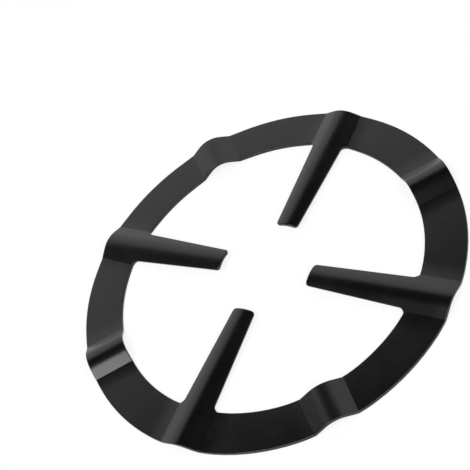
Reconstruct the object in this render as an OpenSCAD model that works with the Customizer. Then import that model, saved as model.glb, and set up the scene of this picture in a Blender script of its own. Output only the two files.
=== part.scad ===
// Reducer ring for a gas hob, pressed from one sheet of steel. The flats lie on
// the pan support, the prongs point inwards and carry the bottom of a small pot,
// and the ridges stiffen the sheet and sit over the fingers of the support.
// Millimetres, +Z up. The origin is in the middle of the ring at the underside
// of its flats, and the first prong points along +X.

/* [Sheet] */
// Thickness of the sheet, with its coat
sheet_t = 1.2; // [0.8:0.1:2]

/* [Ring] */
// Outer diameter of the ring
outer_d = 140; // [110:1:200]
// Width of the ring, from its outer edge to its inner edge
ring_w = 14.4; // [10:0.2:20]

/* [Prongs] */
// Number of prongs, with one ring ridge half way between each two
prong_count = 4; // [3:1:6]
// Open distance between the tips of opposite prongs
tip_gap = 35.4; // [30:0.2:56]
// Width of a prong where it leaves the ring
root_w = 11.4; // [8:0.1:15]
// Width of a prong at its tip
tip_w = 7.8; // [5:0.1:11]
// Radius of the two corners of a prong's tip
tip_corner_r = 1.2; // [0.4:0.1:3]
// Radius of the fillet between a prong's side and the ring
root_fillet_r = 2; // [0.6:0.1:5]

/* [Prong ridges] */
// Height of a prong's ridge above the flats
prong_rise = 2.3; // [1.5:0.1:2.6]
// Width of a prong's ridge, from foot to foot
prong_ridge_w = 14.6; // [14:0.2:20]
// Bend radius inside the crown of a prong's ridge
prong_crown_r = 8.5; // [3:0.5:9.5]
// Bend radius at the foot of a prong's ridge, on the upper side
prong_foot_r = 1.5; // [0.4:0.1:2.5]

/* [Ring ridges] */
// Height of a ring ridge above the flats
ring_rise = 3.1; // [1.5:0.1:3.4]
// Width of a ring ridge, from foot to foot
ring_ridge_w = 14.8; // [14.4:0.2:20]
// Bend radius inside the crown of a ring ridge
ring_crown_r = 7.5; // [3:0.5:8]
// Bend radius at the foot of a ring ridge, on the upper side
ring_foot_r = 0.8; // [0.4:0.1:1.2]

/* [Hidden] */
$fn = 180;
// Most that a bend in a ridge turns from one facet to the next
facet_turn = 5;
outer_r = outer_d / 2;
inner_r = outer_r - ring_w;
tip_r = tip_gap / 2;
pitch = 360 / prong_count;
// Angle between a prong's side and its middle line
taper = atan2((root_w - tip_w) / 2, inner_r - tip_r);
// Each kind of ridge: rise, half of its width, crown radius, foot radius
PRONG_RIDGE = [prong_rise, prong_ridge_w / 2, prong_crown_r, prong_foot_r];
RING_RIDGE = [ring_rise, ring_ridge_w / 2, ring_crown_r, ring_foot_r];
// Length by which cutters and joined shapes run past each other
overrun = sheet_t;

// The same list from its end to its start
function reverse(list) = [for (i = [len(list) - 1:-1:0]) list[i]];

// Slope of the straight flank that touches a ridge's crown bend and foot bend
function flank_slope(ridge) =
    let (bends = ridge[2] + ridge[3] + sheet_t, drop = bends - ridge[0])
    atan2(ridge[1], drop) - acos(bends / norm([ridge[1], drop]));

// Half width of a prong at distance x from the middle of the ring
function prong_half_w(x) = tip_w / 2 + (x - tip_r) * tan(taper);

// Points along a bend about a centre, from one direction to another, as angles
// from straight up
function bend(centre, r, from, to) =
    let (steps = ceil(abs(to - from) / facet_turn))
    [for (i = [0:steps])
        let (a = from + (to - from) * i / steps)
        centre + r * [sin(a), cos(a)]];

// One face of the sheet where a ridge crosses it, seen along the ridge, with a
// strip of flat sheet on either side. The face lies at height z beside the ridge:
// 0 is the lower face of the sheet and its thickness is the upper one. The crown
// bend grows and the foot bend shrinks by that height, so that the sheet has one
// thickness all over.
function face(ridge, z) =
    let (
        slope = flank_slope(ridge),
        crown = bend([0, ridge[0] - ridge[2]], ridge[2] + z, -slope, slope),
        foot_centre = [ridge[1], ridge[3] + sheet_t],
        foot = bend(foot_centre, ridge[3] + sheet_t - z, 180 + slope, 180),
        right = concat(foot, [[ridge[1] + overrun, z]])
    )
    concat([for (p = reverse(right)) [-p.x, p.y]], crown, right);

// Section of the sheet across a ridge
module ridge_section(ridge) {
    polygon(concat(face(ridge, sheet_t), reverse(face(ridge, 0))));
}

// Bar of pressed sheet that runs outwards along +X from distance start
module ridge_bar(ridge, start) {
    translate([start, 0, 0])
        rotate([90, 0, 90])
            linear_extrude(height = outer_r + overrun - start)
                ridge_section(ridge);
}

// Slot in the flat sheet that a ridge bar fills
module ridge_slot(ridge, start) {
    translate([start, -ridge[1], -overrun])
        cube([outer_r + overrun - start, 2 * ridge[1], sheet_t + 2 * overrun]);
}

// Places its children along every prong, or half way between them
module at_prongs(between = false) {
    for (i = [0:prong_count - 1])
        rotate([0, 0, (i + (between ? 0.5 : 0)) * pitch])
            children();
}

// Sheet with its ridges, before the outline is cut
module pressed_sheet() {
    prong_start = tip_r - overrun;
    ring_start = inner_r - overrun;
    difference() {
        cylinder(r = outer_r + overrun, h = sheet_t);
        at_prongs()
            ridge_slot(PRONG_RIDGE, prong_start);
        at_prongs(between = true)
            ridge_slot(RING_RIDGE, ring_start);
    }
    at_prongs()
        ridge_bar(PRONG_RIDGE, prong_start);
    at_prongs(between = true)
        ridge_bar(RING_RIDGE, ring_start);
}

// Outline of one prong along +X, with round corners at its tip
module prong_outline() {
    // Middle of the corner that touches the tip and the prong's side
    corner_x = tip_r + tip_corner_r;
    corner_y = prong_half_w(corner_x) - tip_corner_r / cos(taper);
    side = [corner_x - tip_corner_r * sin(taper), corner_y + tip_corner_r * cos(taper)];
    root_x = inner_r + ring_w / 2;
    root = [root_x, prong_half_w(root_x)];
    polygon([
        [tip_r, -corner_y],
        [side.x, -side.y],
        [root.x, -root.y],
        root,
        side,
        [tip_r, corner_y]
    ]);
    for (y = [-corner_y, corner_y])
        translate([corner_x, y])
            circle(r = tip_corner_r);
}

// Sheet that fills the corner between a prong's upper side and the ring, as far
// as the fillet that touches both
module root_fillet() {
    // Middle of the fillet: its radius away from the side and from the inner edge
    reach = inner_r - root_fillet_r;
    side_gap = root_fillet_r / cos(taper) + prong_half_w(0);
    turn = asin(side_gap * cos(taper) / reach) + taper;
    mid = reach * [cos(turn), sin(turn)];
    on_side = mid + root_fillet_r * [sin(taper), -cos(taper)];
    on_ring = inner_r * [cos(turn), sin(turn)];
    inside = [inner_r + min(root_fillet_r, ring_w / 2), root_w / 4];
    difference() {
        polygon([on_side, inside, on_ring]);
        translate(mid)
            circle(r = root_fillet_r);
    }
}

// Outline of the whole blank, seen from above
module blank_outline() {
    difference() {
        circle(r = outer_r);
        circle(r = inner_r);
    }
    at_prongs() {
        prong_outline();
        root_fillet();
        mirror([0, 1])
            root_fillet();
    }
}

// The finished ring: the pressed sheet, trimmed to the outline of the blank
module reducer_ring() {
    top = max(prong_rise, ring_rise) + sheet_t;
    color("#26262a")
        intersection() {
            pressed_sheet();
            translate([0, 0, -overrun])
                linear_extrude(height = top + 2 * overrun)
                    blank_outline();
        }
}

reducer_ring();
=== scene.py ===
# %% [markdown]
# # A stove reducer ring
#
# The ring makes a wide opening small enough for a small pan: it lies over the
# opening, and the pan stands on its four prongs. It is one piece of sheet steel. A
# press cuts the flat blank, a ring with four prongs, and bends eight ridges into it
# to make it stiff, and then it gets a satin black coat.
#
# This lesson makes it in the same order: the flat blank, the die that it is pressed
# on, the thickness of the sheet, the round edges, and the coat last.

# %% Load the ring's solid
from collections import namedtuple
from math import acos, asin, atan, atan2, cos, degrees, hypot, pi, radians, sin, sqrt, tan

import bpy
from mathutils import Matrix, Vector


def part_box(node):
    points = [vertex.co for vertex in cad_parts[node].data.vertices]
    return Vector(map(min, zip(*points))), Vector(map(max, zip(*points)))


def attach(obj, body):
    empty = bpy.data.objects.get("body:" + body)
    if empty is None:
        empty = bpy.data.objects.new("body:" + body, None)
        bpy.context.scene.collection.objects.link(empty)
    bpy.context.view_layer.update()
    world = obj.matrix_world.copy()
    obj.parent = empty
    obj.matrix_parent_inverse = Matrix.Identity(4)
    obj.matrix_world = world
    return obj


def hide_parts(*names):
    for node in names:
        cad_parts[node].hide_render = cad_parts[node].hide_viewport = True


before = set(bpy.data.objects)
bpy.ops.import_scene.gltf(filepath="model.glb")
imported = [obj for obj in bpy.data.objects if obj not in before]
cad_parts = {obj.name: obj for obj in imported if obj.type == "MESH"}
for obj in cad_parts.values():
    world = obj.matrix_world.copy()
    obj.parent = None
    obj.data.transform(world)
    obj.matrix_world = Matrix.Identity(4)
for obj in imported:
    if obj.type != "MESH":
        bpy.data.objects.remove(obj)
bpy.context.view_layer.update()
low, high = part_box("reducer_ring")
print("solid from", list(low), "to", list(high))

# %% [markdown]
# Only the outer radius and the height are read from the solid. The other sizes are
# the designer's, in metres. A ridge is described by how high it rises, half of its
# width from foot to foot, the bend radius inside its crown, the bend radius at its
# foot, on the upper side of the sheet, and the tilt that the sheet still has there.
#
# The tilt is there because a press never leaves sheet quite flat beside a sharp
# bend. From each foot the sheet runs out to the flat over a few millimetres, and a
# glossy coat shows it.

# %% Sizes of the ring
MM = 0.001
OUTER_R = high[0]
RING_W = 14.4 * MM
INNER_R = OUTER_R - RING_W
SHEET = 1.2 * MM

PRONGS = 4
TIP_R = 17.7 * MM
ROOT_HALF = 5.7 * MM
TIP_HALF = 3.9 * MM
TIP_CORNER_R = 1.2 * MM
ROOT_FILLET_R = 2 * MM

Ridge = namedtuple("Ridge", "rise half_w crown_r foot_r tilt")
PRONG_RIDGE = Ridge(2.3 * MM, 7.4 * MM, 8.8 * MM, 1.5 * MM, radians(4))
RING_RIDGE = Ridge(high[2] - SHEET, 7.7 * MM, 8.2 * MM, 0.5 * MM, radians(5))
RUN_OUT = 6 * MM
print("inner radius", round(INNER_R / MM, 2), "mm")
print("ring ridge rises", round(RING_RIDGE.rise / MM, 2), "mm")

# %% [markdown]
# Across a ridge the sheet runs through a bend over the crown, a straight flank, a
# bend at the foot, and the run-out, a long shallow arc that ends in the flat. The
# slope of the flank follows from the two bend radii, because the flank touches both.
#
# A curve drawn by eye would look much the same, but no size in it would have a
# name. We need this section twice: to know where the blank needs lines so that it
# can bend, and to make the die.

# %% The section of a ridge
def spread(start, end, count):
    """Evenly spaced values from start to end, count steps apart."""
    return [start + (end - start) * i / count for i in range(count + 1)]


def half_section(ridge, steps):
    """The sheet's lower face from the crown out to the flat, as places sideways and up.

    Each bend is cut into that many steps.
    """
    # The lower face is on the inside of the crown's bend and on the outside of the foot's
    foot_r = ridge.foot_r + SHEET
    run_out_r = RUN_OUT / sin(ridge.tilt)
    foot_height = run_out_r * (1 - cos(ridge.tilt))
    foot_mid = Vector((ridge.half_w + foot_r * sin(ridge.tilt), foot_height + foot_r * cos(ridge.tilt)))
    drop = foot_mid.y - (ridge.rise - ridge.crown_r)
    bends = ridge.crown_r + foot_r
    slope = atan2(foot_mid.x, drop) - acos(bends / hypot(foot_mid.x, drop))
    crown = [
        Vector((ridge.crown_r * sin(a), ridge.rise - ridge.crown_r * (1 - cos(a))))
        for a in spread(0, slope, steps)
    ]
    foot = [
        Vector((foot_mid.x - foot_r * sin(a), foot_mid.y - foot_r * cos(a)))
        for a in spread(slope, ridge.tilt, steps)
    ]
    run_out = [
        Vector((ridge.half_w + RUN_OUT - run_out_r * sin(a), run_out_r * (1 - cos(a))))
        for a in spread(ridge.tilt, 0, steps)
    ]
    return crown, foot, run_out


for name, ridge in (("prong", PRONG_RIDGE), ("ring", RING_RIDGE)):
    crown, foot, run_out = half_section(ridge, 1)
    print(name, "ridge: flank from", round(crown[-1].x / MM, 2), "to", round(foot[0].x / MM, 2), "mm")

# %% [markdown]
# The blank is the same eight times over, turned and mirrored, so only one eighth is
# modelled: half of a prong with the ring beside it, up to the middle of the next
# ring ridge. Its outline has one difficult spot, the fillet between the prong's
# side and the ring's inner edge. We work out where that arc touches both.

# %% The outline at a prong's root
EIGHTH = pi / PRONGS
TAPER = atan((ROOT_HALF - TIP_HALF) / (INNER_R - TIP_R))


def prong_half(x):
    """Half width of a prong at distance x from the middle of the ring."""
    return TIP_HALF + (x - TIP_R) * tan(TAPER)


fillet_reach = INNER_R - ROOT_FILLET_R
fillet_turn = asin((ROOT_FILLET_R + prong_half(0) * cos(TAPER)) / fillet_reach) + TAPER
FILLET_MID = Vector((fillet_reach * cos(fillet_turn), fillet_reach * sin(fillet_turn)))


def on_fillet(angle):
    """Point on the fillet's arc. The angle is taken from +X."""
    return FILLET_MID + ROOT_FILLET_R * Vector((cos(angle), sin(angle)))


# The arc runs from the prong's side to the ring. Its first half is given to the
# prong and its second half to the ring, so that no line meets it at a flat angle.
ARC_START = TAPER - pi / 2
ARC_END = fillet_turn
ARC_HALF_WAY = (ARC_START + ARC_END) / 2
ROOT = on_fillet(ARC_HALF_WAY)
RING_TOUCH = on_fillet(ARC_END)
print("half way along, the fillet is", round(ROOT.y / MM, 2), "mm beside the prong's middle line")
print("it touches the ring", round(RING_TOUCH.y / MM, 2), "mm beside it")

# %% [markdown]
# The outline could be cut out of a plane in one go, but the faces that this leaves
# don't bend well. So the ring part of the eighth is laid out in columns that run
# across the ring. Where a ridge will be they stay parallel to the ridge, one on each
# line where the sheet bends.
#
# Beside the prong's middle line come first the prong's own columns, then the lines
# of the ridge's foot, the outer half of the fillet, and the run-out.

# %% Where the columns lie beside a ridge
PRONG_COLUMNS = 8
FILLET_COLUMNS = 2
BEND_STEPS = 5
LEAST_GAP = 0.1 * MM

crown, foot, run_out = half_section(PRONG_RIDGE, BEND_STEPS)
beside_prong = spread(0, ROOT.y, PRONG_COLUMNS) + [p.x for p in foot if p.x > ROOT.y + LEAST_GAP]
beside_prong += spread(foot[-1].x, RING_TOUCH.y, FILLET_COLUMNS)[1:]
beside_prong += [p.x for p in run_out if p.x > RING_TOUCH.y + LEAST_GAP]

crown, foot, run_out = half_section(RING_RIDGE, BEND_STEPS)
flank_middle = (crown[-1].x + foot[0].x) / 2
beside_ring_ridge = [p.x for p in crown] + [flank_middle] + [p.x for p in foot + run_out[1:]]
print(len(beside_prong), "beside the prong,", len(beside_ring_ridge), "beside the ring ridge")

# %% [markdown]
# Over the flat between the two ridges the columns fan out. Each column is given by
# its inner and its outer end. The inner ends follow the outline of the blank: the
# prong's root, the fillet, and then the ring's inner edge.

# %% Columns of the ring
FAN = 8


def prong_side(u):
    """Ends of the column at distance u from the prong's middle line."""
    if u <= ROOT.y:
        inner_x = ROOT.x
    elif u < RING_TOUCH.y:
        inner_x = FILLET_MID.x + sqrt(ROOT_FILLET_R**2 - (u - FILLET_MID.y) ** 2)
    else:
        inner_x = sqrt(INNER_R**2 - u**2)
    return Vector((inner_x, u, 0)), Vector((sqrt(OUTER_R**2 - u**2), u, 0))


def ridge_side(u):
    """Ends of the column at distance u from the ring ridge's middle line."""
    turn = Matrix.Rotation(EIGHTH, 3, "Z")
    return tuple(turn @ Vector((sqrt(r**2 - u**2), -u, 0)) for r in (INNER_R, OUTER_R))


def fanned(share):
    """Ends of a column on the flat, from the prong's side, 0, to the ring ridge's, 1."""
    ends = []
    for r in (INNER_R, OUTER_R):
        first = asin(beside_prong[-1] / r)
        last = EIGHTH - asin(beside_ring_ridge[-1] / r)
        angle = first + (last - first) * share
        ends.append(Vector((r * cos(angle), r * sin(angle), 0)))
    return tuple(ends)


columns = [prong_side(u) for u in beside_prong]
columns += [fanned(i / FAN) for i in range(1, FAN)]
columns += [ridge_side(u) for u in reversed(beside_ring_ridge)]
print(len(columns), "columns across one eighth of the ring")

# %% [markdown]
# An operator works on everything that is selected, so each step starts by
# deselecting all. In edit mode we pick vertices by their place. A place is never
# met exactly, so what lies within a small tolerance of it counts.

# %% Helpers for working by hand
TOLERANCE = 0.005 * MM
print("places count as met within", TOLERANCE / MM, "mm")


def alone(obj):
    """Selects this object only and makes it the active one."""
    if bpy.context.object and bpy.context.object.mode != "OBJECT":
        bpy.ops.object.mode_set(mode="OBJECT")
    bpy.ops.object.select_all(action="DESELECT")
    obj.select_set(True)
    bpy.context.view_layer.objects.active = obj


def pick_vertices(obj, wanted):
    """In edit mode, selects the vertices whose place passes the test, and the edges between them."""
    bpy.ops.object.mode_set(mode="EDIT")
    bpy.ops.mesh.select_mode(type="VERT")
    bpy.ops.mesh.select_all(action="DESELECT")
    bpy.ops.object.mode_set(mode="OBJECT")
    for vertex in obj.data.vertices:
        vertex.select = wanted(vertex.co)
    bpy.ops.object.mode_set(mode="EDIT")


def use_modifier(obj, kind, **settings):
    """Adds a modifier with these settings and applies it."""
    alone(obj)
    modifier = obj.modifiers.new(kind.title(), kind)
    for name, value in settings.items():
        setattr(modifier, name, value)
    bpy.ops.object.modifier_apply(modifier=modifier.name)


def turned_copies(obj, count):
    """Copies the object round the middle of the ring, count times in all, and joins the copies to it."""
    copies = []
    for number in range(1, count):
        alone(obj)
        bpy.ops.object.duplicate()
        copies.append(bpy.context.object)
        bpy.ops.transform.rotate(value=2 * pi / count * number, orient_axis="Z", center_override=(0, 0, 0))
        bpy.ops.object.transform_apply(location=True, rotation=True, scale=True)
    alone(obj)
    for copy in copies:
        copy.select_set(True)
    bpy.ops.object.join()


# %% [markdown]
# A grid primitive makes the first strip, from the prong's middle line to the next
# column. Its free edge is then extruded from column to column. Each time the new
# edge is moved to the inner end of its column, turned to its direction and scaled
# to its length, which is how a fan is drawn by hand.

# %% Lay the ring part of the eighth
ROWS = 3

bpy.ops.object.select_all(action="DESELECT")
first, second = columns[0], columns[1]
bpy.ops.mesh.primitive_grid_add(
    x_subdivisions=ROWS,
    y_subdivisions=1,
    size=1,
    location=((first[0].x + first[1].x) / 2, second[0].y / 2, 0),
)
ring = bpy.context.object
ring.name = "pressed_ring"
ring.scale = (first[1].x - first[0].x, second[0].y, 1)
bpy.ops.object.transform_apply(location=True, rotation=True, scale=True)

pick_vertices(ring, lambda co: co.y > TOLERANCE)
old_in = Vector((first[0].x, second[0].y, 0))
old_out = Vector((first[1].x, second[0].y, 0))
for number, (new_in, new_out) in enumerate(columns[1:]):
    # The grid's own edge is only stretched to the second column, with nothing extruded
    if number:
        bpy.ops.mesh.extrude_edges_move(TRANSFORM_OT_translate={"value": new_in - old_in})
    old_way = old_out - old_in
    new_way = new_out - new_in
    turn = atan2(new_way.y, new_way.x) - atan2(old_way.y, old_way.x)
    stretch = new_way.length / old_way.length
    # With no window, rotate turns the other way
    bpy.ops.transform.rotate(value=-turn, orient_axis="Z", center_override=new_in)
    bpy.ops.transform.resize(value=(stretch, stretch, stretch), center_override=new_in)
    old_in, old_out = new_in, new_out
bpy.ops.object.mode_set(mode="OBJECT")
print("flat ring sector:", len(ring.data.polygons), "faces")

# %% [markdown]
# The prong grows out of the ring's inner edge. The edge at its root is extruded
# towards the middle row by row, and each new row is scaled to the prong's width
# there. The first rows follow the fillet, then come the straight taper and the
# first half of the round corner at the tip.

# %% Extrude half of a prong
FILLET_ROWS = 4
PRONG_ROWS = 8
CORNER_STEPS = 3

corner_mid = Vector((TIP_R + TIP_CORNER_R, 0))
corner_mid.y = prong_half(corner_mid.x) - TIP_CORNER_R / cos(TAPER)


def on_corner(angle):
    """Point on the corner's arc, from the tip's edge, 0, to the prong's side."""
    return corner_mid + TIP_CORNER_R * Vector((-cos(angle), sin(angle)))


rows = [on_fillet(a) for a in spread(ARC_HALF_WAY, ARC_START, FILLET_ROWS)[1:]]
side_touch = on_corner(pi / 2 + TAPER)
rows += [Vector((x, prong_half(x))) for x in spread(rows[-1].x, side_touch.x, PRONG_ROWS)[1:]]
rows += [on_corner(a) for a in spread(pi / 2 + TAPER, pi / 4, CORNER_STEPS)[1:]]
pick_vertices(ring, lambda co: abs(co.x - ROOT.x) < TOLERANCE and co.y < ROOT.y + TOLERANCE)
last = ROOT
for side in rows:
    bpy.ops.mesh.extrude_edges_move(TRANSFORM_OT_translate={"value": (side.x - last.x, 0, 0)})
    bpy.ops.transform.resize(value=(1, side.y / last.y, 1), center_override=(0, 0, 0))
    last = side
bpy.ops.object.mode_set(mode="OBJECT")
print("with half a prong:", len(ring.data.polygons), "faces")

# %% [markdown]
# The last row is still a straight line, half way round the corner. Its vertices
# slide on to the real outline of the tip: straight from the middle line, and then
# along the other half of the corner.

# %% Round the prong's tip
tip_outline = [Vector((TIP_R, y)) for y in spread(0, corner_mid.y, PRONG_COLUMNS - CORNER_STEPS)]
tip_outline += [on_corner(a) for a in spread(0, pi / 4, CORNER_STEPS)[1:]]
for y, place in zip(spread(0, last.y, PRONG_COLUMNS), tip_outline):
    pick_vertices(ring, lambda co: abs(co.x - last.x) < TOLERANCE and abs(co.y - y) < TOLERANCE)
    bpy.ops.transform.translate(value=(place.x - last.x, place.y - y, 0))
bpy.ops.object.mode_set(mode="OBJECT")
print("tip corner starts", round(corner_mid.y / MM, 2), "mm beside the middle line")

# %% [markdown]
# A mirror makes a quarter of it, and three turned copies close the ring. The seams
# run along the middle of the ridges, where both sides have the same points, so
# merging by distance makes one flat blank of them.

# %% Mirror and turn the eighth into the whole blank
use_modifier(ring, "MIRROR", use_axis=(False, True, False), merge_threshold=TOLERANCE)
turned_copies(ring, PRONGS)
bpy.ops.object.mode_set(mode="EDIT")
bpy.ops.mesh.select_all(action="SELECT")
bpy.ops.mesh.remove_doubles(threshold=TOLERANCE)
bpy.ops.mesh.normals_make_consistent(inside=False)
bpy.ops.object.mode_set(mode="OBJECT")
# An open sheet has no outside, so it may have come out facing down
if ring.data.polygons[0].normal.z < 0:
    ring.data.flip_normals()
print("flat blank:", len(ring.data.polygons), "faces")

# %% [markdown]
# The ridges could be lifted vertex by vertex, but a die does it as the press does,
# both kinds at once. It starts as a plane beside a ridge, whose edge is extruded
# along the section of the ridge, up one flank and down the other, and ends on a
# second plane. One bar is made for the prong ridges and one for the ring ridges,
# and both are turned round the ring.

# %% Make the die
DIE_STEPS = 16
DIE_SIDES = 64
BESIDE = 12 * MM


def die_bar(name, ridge, start):
    """Surface of the die along one ridge, from distance start to beyond the outer edge."""
    crown, foot, run_out = half_section(ridge, DIE_STEPS)
    half = crown + foot + run_out[1:]
    whole = [Vector((-p.x, p.y)) for p in reversed(half[1:])] + half
    length = OUTER_R + BESIDE - start
    bpy.ops.object.select_all(action="DESELECT")
    bpy.ops.mesh.primitive_plane_add(size=1, location=(start + length / 2, whole[0].x - BESIDE / 2, 0))
    bar = bpy.context.object
    bar.name = name
    bar.scale = (length, BESIDE, 1)
    bpy.ops.object.transform_apply(location=True, rotation=True, scale=True)
    pick_vertices(bar, lambda co: abs(co.y - whole[0].x) < TOLERANCE)
    for here, there in zip(whole, whole[1:] + [whole[-1] + Vector((BESIDE, 0))]):
        bpy.ops.mesh.extrude_edges_move(
            TRANSFORM_OT_translate={"value": (0, there.x - here.x, there.y - here.y)}
        )
    bpy.ops.object.mode_set(mode="OBJECT")
    return bar


prong_die = die_bar("prong_die", PRONG_RIDGE, TIP_R - BESIDE / 2)
turned_copies(prong_die, PRONGS)
ring_die = die_bar("ring_die", RING_RIDGE, INNER_R - BESIDE / 2)
alone(ring_die)
bpy.ops.transform.rotate(value=EIGHTH, orient_axis="Z", center_override=(0, 0, 0))
bpy.ops.object.transform_apply(location=True, rotation=True, scale=True)
turned_copies(ring_die, PRONGS)

bpy.ops.object.select_all(action="DESELECT")
bpy.ops.mesh.primitive_circle_add(vertices=DIE_SIDES, radius=OUTER_R + BESIDE, fill_type="NGON")
die = bpy.context.object
die.name = "die"
for bar in (prong_die, ring_die):
    bar.select_set(True)
bpy.ops.object.join()
die_top = max(v.co.z for v in die.data.vertices)
print("die:", len(die.data.polygons), "faces, highest", round(die_top / MM, 2), "mm")

# %% [markdown]
# Now the press closes. The blank is held above the die, and Shrinkwrap moves every
# point of it straight down to the first surface below: the ridge where there is
# one, the plane elsewhere. Then the die is taken away.

# %% Press the blank
HELD_ABOVE = 10 * MM

alone(ring)
bpy.ops.transform.translate(value=(0, 0, HELD_ABOVE))
bpy.ops.object.transform_apply(location=True, rotation=True, scale=True)
use_modifier(
    ring,
    "SHRINKWRAP",
    target=die,
    wrap_method="PROJECT",
    use_project_z=True,
    use_positive_direction=False,
    use_negative_direction=True,
)
bpy.data.objects.remove(die)
heights = [v.co.z for v in ring.data.vertices]
print("pressed from", round(min(heights) / MM, 3), "to", round(max(heights) / MM, 3), "mm")

# %% [markdown]
# Solidify gives the sheet its thickness, upwards from the lower face, and keeps it
# even through the bends. A punched and coated sheet has no sharp edge: a bevel on
# every edge that turns more than the bends do rounds them all. Weighted normals
# then let the large flat faces decide the shading.

# %% Thickness and round edges
EDGE_R = 0.25 * MM
EDGE_STEPS = 3
LEAST_EDGE = radians(50)
MOST_SMOOTH = radians(40)
FACE_WEIGHT = 50

use_modifier(ring, "SOLIDIFY", thickness=SHEET, offset=1, use_even_offset=True)
use_modifier(
    ring,
    "BEVEL",
    width=EDGE_R,
    segments=EDGE_STEPS,
    limit_method="ANGLE",
    angle_limit=LEAST_EDGE,
    use_clamp_overlap=False,
)
alone(ring)
bpy.ops.object.shade_smooth_by_angle(angle=MOST_SMOOTH)
use_modifier(ring, "WEIGHTED_NORMAL", mode="FACE_AREA", weight=FACE_WEIGHT, keep_sharp=True)
print("finished ring:", len(ring.data.polygons), "faces,", round(ring.dimensions.x / MM, 2), "mm across")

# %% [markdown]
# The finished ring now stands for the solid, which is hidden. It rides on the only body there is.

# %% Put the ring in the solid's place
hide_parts("reducer_ring")
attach(ring, "root")
print(ring.name, "stands for reducer_ring")

# %% [markdown]
# The coat is a satin black, sprayed on and baked. It is nearly black by itself and
# gets its greys from what it reflects, so its gloss matters more than its colour.
#
# One even gloss would look like plastic. Sprayed coats dry with a very fine orange
# peel, and their tone and gloss are never quite even. First come the sizes of those
# patterns and how far each goes.

# %% Sizes of the coat's patterns
DEEP_BLACK = (0.0007, 0.0007, 0.0008, 1)
PALE_BLACK = (0.0014, 0.0014, 0.0015, 1)
TONE_PATCH = 9 * MM
GLOSS_PATCH = 8 * MM
GLOSSIEST, DULLEST = 0.215, 0.265
PEEL_LUMP = 1.1 * MM
PEEL_DEPTH = 0.03 * MM
PEEL_STRENGTH = 0.5
print("orange peel in lumps of", round(PEEL_LUMP / MM, 2), "mm")
print("gloss in patches of", round(GLOSS_PATCH / MM, 2), "mm")

# %% [markdown]
# All three patterns are noise textures laid out in object coordinates, in metres,
# so they stay on the ring wherever it is seen from. One mixes two blacks, one sets
# the roughness, and the finest is the height of the bump.

# %% Satin black coat
def noise(nodes, links, coordinates, size, detail):
    """A noise texture whose lumps are about size metres wide."""
    texture = nodes.new("ShaderNodeTexNoise")
    texture.inputs["Scale"].default_value = 1 / size
    texture.inputs["Detail"].default_value = detail
    links.new(coordinates, texture.inputs["Vector"])
    return texture.outputs["Fac"]


def uneven_gloss(nodes, links, patches):
    """Roughness from the glossiest to the dullest, after a noise that keeps near its middle."""
    gloss = nodes.new("ShaderNodeMapRange")
    gloss.inputs["From Min"].default_value = 0.3
    gloss.inputs["From Max"].default_value = 0.7
    gloss.inputs["To Min"].default_value = GLOSSIEST
    gloss.inputs["To Max"].default_value = DULLEST
    links.new(patches, gloss.inputs["Value"])
    return gloss.outputs["Result"]


def black_coat():
    """Satin black baked coat on steel."""
    material = bpy.data.materials.new("satin_black_coat")
    material.use_nodes = True
    nodes = material.node_tree.nodes
    links = material.node_tree.links
    shader = nodes["Principled BSDF"]
    place = nodes.new("ShaderNodeTexCoord").outputs["Object"]
    shader.inputs["IOR"].default_value = 1.5

    tone = nodes.new("ShaderNodeMix")
    tone.data_type = "RGBA"
    tone.inputs["A"].default_value = DEEP_BLACK
    tone.inputs["B"].default_value = PALE_BLACK
    links.new(noise(nodes, links, place, TONE_PATCH, detail=3), tone.inputs["Factor"])
    links.new(tone.outputs["Result"], shader.inputs["Base Color"])

    patches = noise(nodes, links, place, GLOSS_PATCH, detail=4)
    links.new(uneven_gloss(nodes, links, patches), shader.inputs["Roughness"])

    peel = nodes.new("ShaderNodeBump")
    peel.inputs["Strength"].default_value = PEEL_STRENGTH
    peel.inputs["Distance"].default_value = PEEL_DEPTH
    links.new(noise(nodes, links, place, PEEL_LUMP, detail=2), peel.inputs["Height"])
    links.new(peel.outputs["Normal"], shader.inputs["Normal"])
    return material


ring.data.materials.clear()
ring.data.materials.append(black_coat())
print("coat:", ring.data.materials[0].name)

# %% [markdown]
# A dark glossy thing is lit by what stands round it. Here that is a studio with
# pale walls and a dark ceiling. A wide window is behind the ring, the wall on its
# right is pale and gets paler upwards, and the wall on its left is dim. Each flat
# mirrors the line where wall turns to ceiling, so the flats go from light at the
# back to dark at the front, and each flank mirrors a wall of its own.

# %% Places and brightness in the studio
WINDOW_AZIMUTH = radians(148)
# Where the window starts to fade on either side, and where the wall has replaced it
WINDOW_HALF = radians(18), radians(44)
# Height over which wall turns to ceiling
WALL_TOP = radians(47.5), radians(49.4)
WINDOW = 1.0
LEFT_WALL = 0.33
RIGHT_WALL_LOW, RIGHT_WALL_HIGH = 0.58, 0.97
BACK_CEILING, FRONT_CEILING = 0.03, 0.165
# Where the other changes start and end, along a direction of length 1
RIGHT_WALL_UPWARDS = 0.1, 0.55
RIGHT_TO_LEFT = -0.5, 0.5
FRONT_TO_BACK = -0.6, 0.6
print("walls up to", round(degrees(sum(WALL_TOP) / 2), 1), "degrees")

# %% [markdown]
# A studio has soft changes only. So that no edge shows in the coat, every change
# from one brightness to the next is a smooth ramp, and a ramp can also be the share
# in which two others are mixed.

# %% Helpers for the studio's nodes
def ramp(nodes, links, value, start, end, at_start, at_end):
    """Smooth change from at_start to at_end as the value goes from start to end."""
    node = nodes.new("ShaderNodeMapRange")
    node.interpolation_type = "SMOOTHSTEP"
    for name, number in (("From Min", start), ("From Max", end), ("To Min", at_start), ("To Max", at_end)):
        node.inputs[name].default_value = number
    links.new(value, node.inputs["Value"])
    return node.outputs["Result"]


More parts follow.
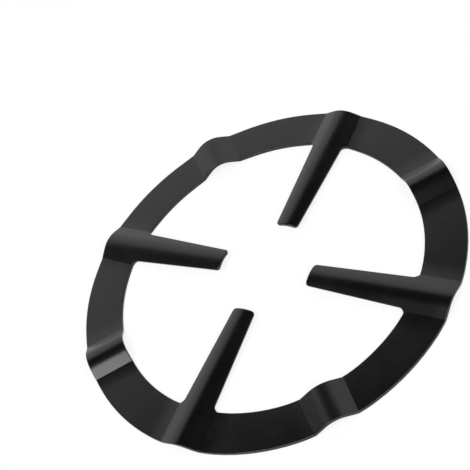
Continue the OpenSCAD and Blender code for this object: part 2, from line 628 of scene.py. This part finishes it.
def blend(nodes, links, share, nothing, all_of_it):
    """A value between two others: the first where share is 0, the second where it is 1."""
    node = nodes.new("ShaderNodeMix")
    for socket, value in (("Factor", share), ("A", nothing), ("B", all_of_it)):
        if isinstance(value, float):
            node.inputs[socket].default_value = value
        else:
            links.new(value, node.inputs[socket])
    return node.outputs["Result"]


# %% [markdown]
# A big sphere painted with these walls would do too, but the world needs no mesh
# that could get into the model. Its colour is made from the direction that is
# looked in. That direction is first turned until the window lies along +X. Its
# height then gives wall or ceiling, and its turn from the window gives how bright
# the wall is.

# %% Studio walls
def studio_world():
    """Pale walls with a bright window, dark overhead."""
    world = bpy.data.worlds.new("studio")
    world.use_nodes = True
    nodes = world.node_tree.nodes
    links = world.node_tree.links

    from_window = nodes.new("ShaderNodeVectorRotate")
    from_window.rotation_type = "Z_AXIS"
    from_window.inputs["Angle"].default_value = -WINDOW_AZIMUTH
    links.new(nodes.new("ShaderNodeTexCoord").outputs["Generated"], from_window.inputs["Vector"])
    way = nodes.new("ShaderNodeSeparateXYZ")
    links.new(from_window.outputs["Vector"], way.inputs["Vector"])
    turn = nodes.new("ShaderNodeMath")
    turn.operation = "ARCTAN2"
    links.new(way.outputs["Y"], turn.inputs[0])
    links.new(way.outputs["X"], turn.inputs[1])
    aside = nodes.new("ShaderNodeMath")
    aside.operation = "ABSOLUTE"
    links.new(turn.outputs["Value"], aside.inputs[0])

    right_wall = ramp(
        nodes, links, way.outputs["Z"], *RIGHT_WALL_UPWARDS, RIGHT_WALL_LOW, RIGHT_WALL_HIGH
    )
    to_left = ramp(nodes, links, way.outputs["Y"], *RIGHT_TO_LEFT, 0, 1)
    side_wall = blend(nodes, links, to_left, right_wall, LEFT_WALL)
    in_window = ramp(nodes, links, aside.outputs["Value"], *WINDOW_HALF, 1, 0)
    wall = blend(nodes, links, in_window, side_wall, WINDOW)
    ceiling = ramp(nodes, links, way.outputs["X"], *FRONT_TO_BACK, FRONT_CEILING, BACK_CEILING)
    above = ramp(nodes, links, way.outputs["Z"], sin(WALL_TOP[0]), sin(WALL_TOP[1]), 0, 1)
    links.new(blend(nodes, links, above, wall, ceiling), nodes["Background"].inputs["Color"])
    return world


bpy.context.scene.world = studio_world()
print("world:", bpy.context.scene.world.name)

# %% [markdown]
# Two round lamps add the light. The softbox stands at the front left, high up, and
# shines in the one flank that leans its way. The fill stands low on the camera's
# side, where no face of the ring mirrors it: it softens the shadow and draws a thin
# line along the round edges. Their size is given as an angle and their brightness
# as it looks in a mirror, so that they can be moved without changing the light.

# %% Lamps
LAMP_DISTANCE = 2


def direction(azimuth, elevation):
    """Unit vector towards that azimuth, from +X, and elevation, in degrees."""
    a, e = radians(azimuth), radians(elevation)
    return Vector((cos(a) * cos(e), sin(a) * cos(e), sin(e)))


def soft_lamp(name, towards, half_angle, brightness):
    """Round lamp that looks at the ring and fills a cone of that half angle, in degrees."""
    radius = LAMP_DISTANCE * tan(radians(half_angle))
    area = pi * radius**2
    bpy.ops.object.light_add(type="AREA", location=towards * LAMP_DISTANCE)
    lamp = bpy.context.object
    lamp.name = name
    lamp.data.shape = "DISK"
    lamp.data.size = 2 * radius
    lamp.data.energy = brightness * pi * area
    lamp.rotation_euler = towards.to_track_quat("Z", "Y").to_euler()
    return lamp


soft_lamp("front_left_softbox", direction(-98, 59.5), half_angle=15.5, brightness=6.7)
soft_lamp("fill", direction(-25, 30), half_angle=25, brightness=2.5)

# %% [markdown]
# The floor is a plain pale sheet that takes the shadow of the ring. To the camera,
# and to whatever mirrors or looks through to it, it is mixed with plain white, so
# that the background is white without more light on the ring. It lies a hair below
# the flats, because two faces at one height would show in patches.

# %% Pale floor
FLOOR_R = 3
FLOOR_SIDES = 96
FLOOR_GAP = 0.05 * MM
FLOOR_COLOUR = (0.9, 0.9, 0.9, 1)
FLOOR_WHITE = 0.8
# A little over 1, to make up for the part of the floor that isn't plain white
WHITE_STRENGTH = 1.03


def pale_floor():
    """Plain floor, part of it plain white where it is seen and not only lights."""
    bpy.ops.object.select_all(action="DESELECT")
    bpy.ops.mesh.primitive_circle_add(
        vertices=FLOOR_SIDES, radius=FLOOR_R, fill_type="NGON", location=(0, 0, -FLOOR_GAP)
    )
    floor = bpy.context.object
    floor.name = "floor"
    material = bpy.data.materials.new("pale_floor")
    material.use_nodes = True
    nodes = material.node_tree.nodes
    links = material.node_tree.links
    shader = nodes["Principled BSDF"]
    shader.inputs["Base Color"].default_value = FLOOR_COLOUR
    shader.inputs["Roughness"].default_value = 0.9
    shader.inputs["Specular IOR Level"].default_value = 0
    white = nodes.new("ShaderNodeEmission")
    white.inputs["Strength"].default_value = WHITE_STRENGTH
    path = nodes.new("ShaderNodeLightPath")
    seen = path.outputs["Is Camera Ray"]
    for ray in ("Is Glossy Ray", "Is Transmission Ray"):
        either = nodes.new("ShaderNodeMath")
        either.operation = "MAXIMUM"
        links.new(seen, either.inputs[0])
        links.new(path.outputs[ray], either.inputs[1])
        seen = either.outputs["Value"]
    share = nodes.new("ShaderNodeMath")
    share.operation = "MULTIPLY"
    share.inputs[1].default_value = FLOOR_WHITE
    links.new(seen, share.inputs[0])
    mix = nodes.new("ShaderNodeMixShader")
    links.new(share.outputs["Value"], mix.inputs["Fac"])
    links.new(shader.outputs["BSDF"], mix.inputs[1])
    links.new(white.outputs["Emission"], mix.inputs[2])
    links.new(mix.outputs["Shader"], nodes["Material Output"].inputs["Surface"])
    floor.data.materials.append(material)
    return floor


pale_floor()
bpy.context.scene.view_settings.view_transform = "Standard"
print("floor", round(FLOOR_GAP / MM, 2), "mm below the flats")

# %% [markdown]
# The camera looks down on the ring from the front right and is rolled to the right,
# so the ring seems to stand on its lower left corner. The lens is long, as for a
# catalogue picture, so the far side looks hardly smaller than the near one.

# %% Camera
CAMERA_AT = Vector((0.2331, -0.1840, 0.3241))
AIM_AT = Vector((-0.0203, 0.0124, 0))
ROLL = radians(33.75)
# Width of the sensor and focal length, in the millimetres that a camera is set in
SENSOR = 36
LENS = 97.94

bpy.ops.object.camera_add(location=CAMERA_AT)
camera = bpy.context.object
camera.data.sensor_width = SENSOR
camera.data.lens = LENS
camera.data.clip_start = 0.01
level = (AIM_AT - CAMERA_AT).to_track_quat("-Z", "Y")
camera.rotation_euler = (level.to_matrix() @ Matrix.Rotation(-ROLL, 3, "Z")).to_euler()
bpy.context.scene.camera = camera
print("camera", round((AIM_AT - CAMERA_AT).length, 3), "m from the ring")
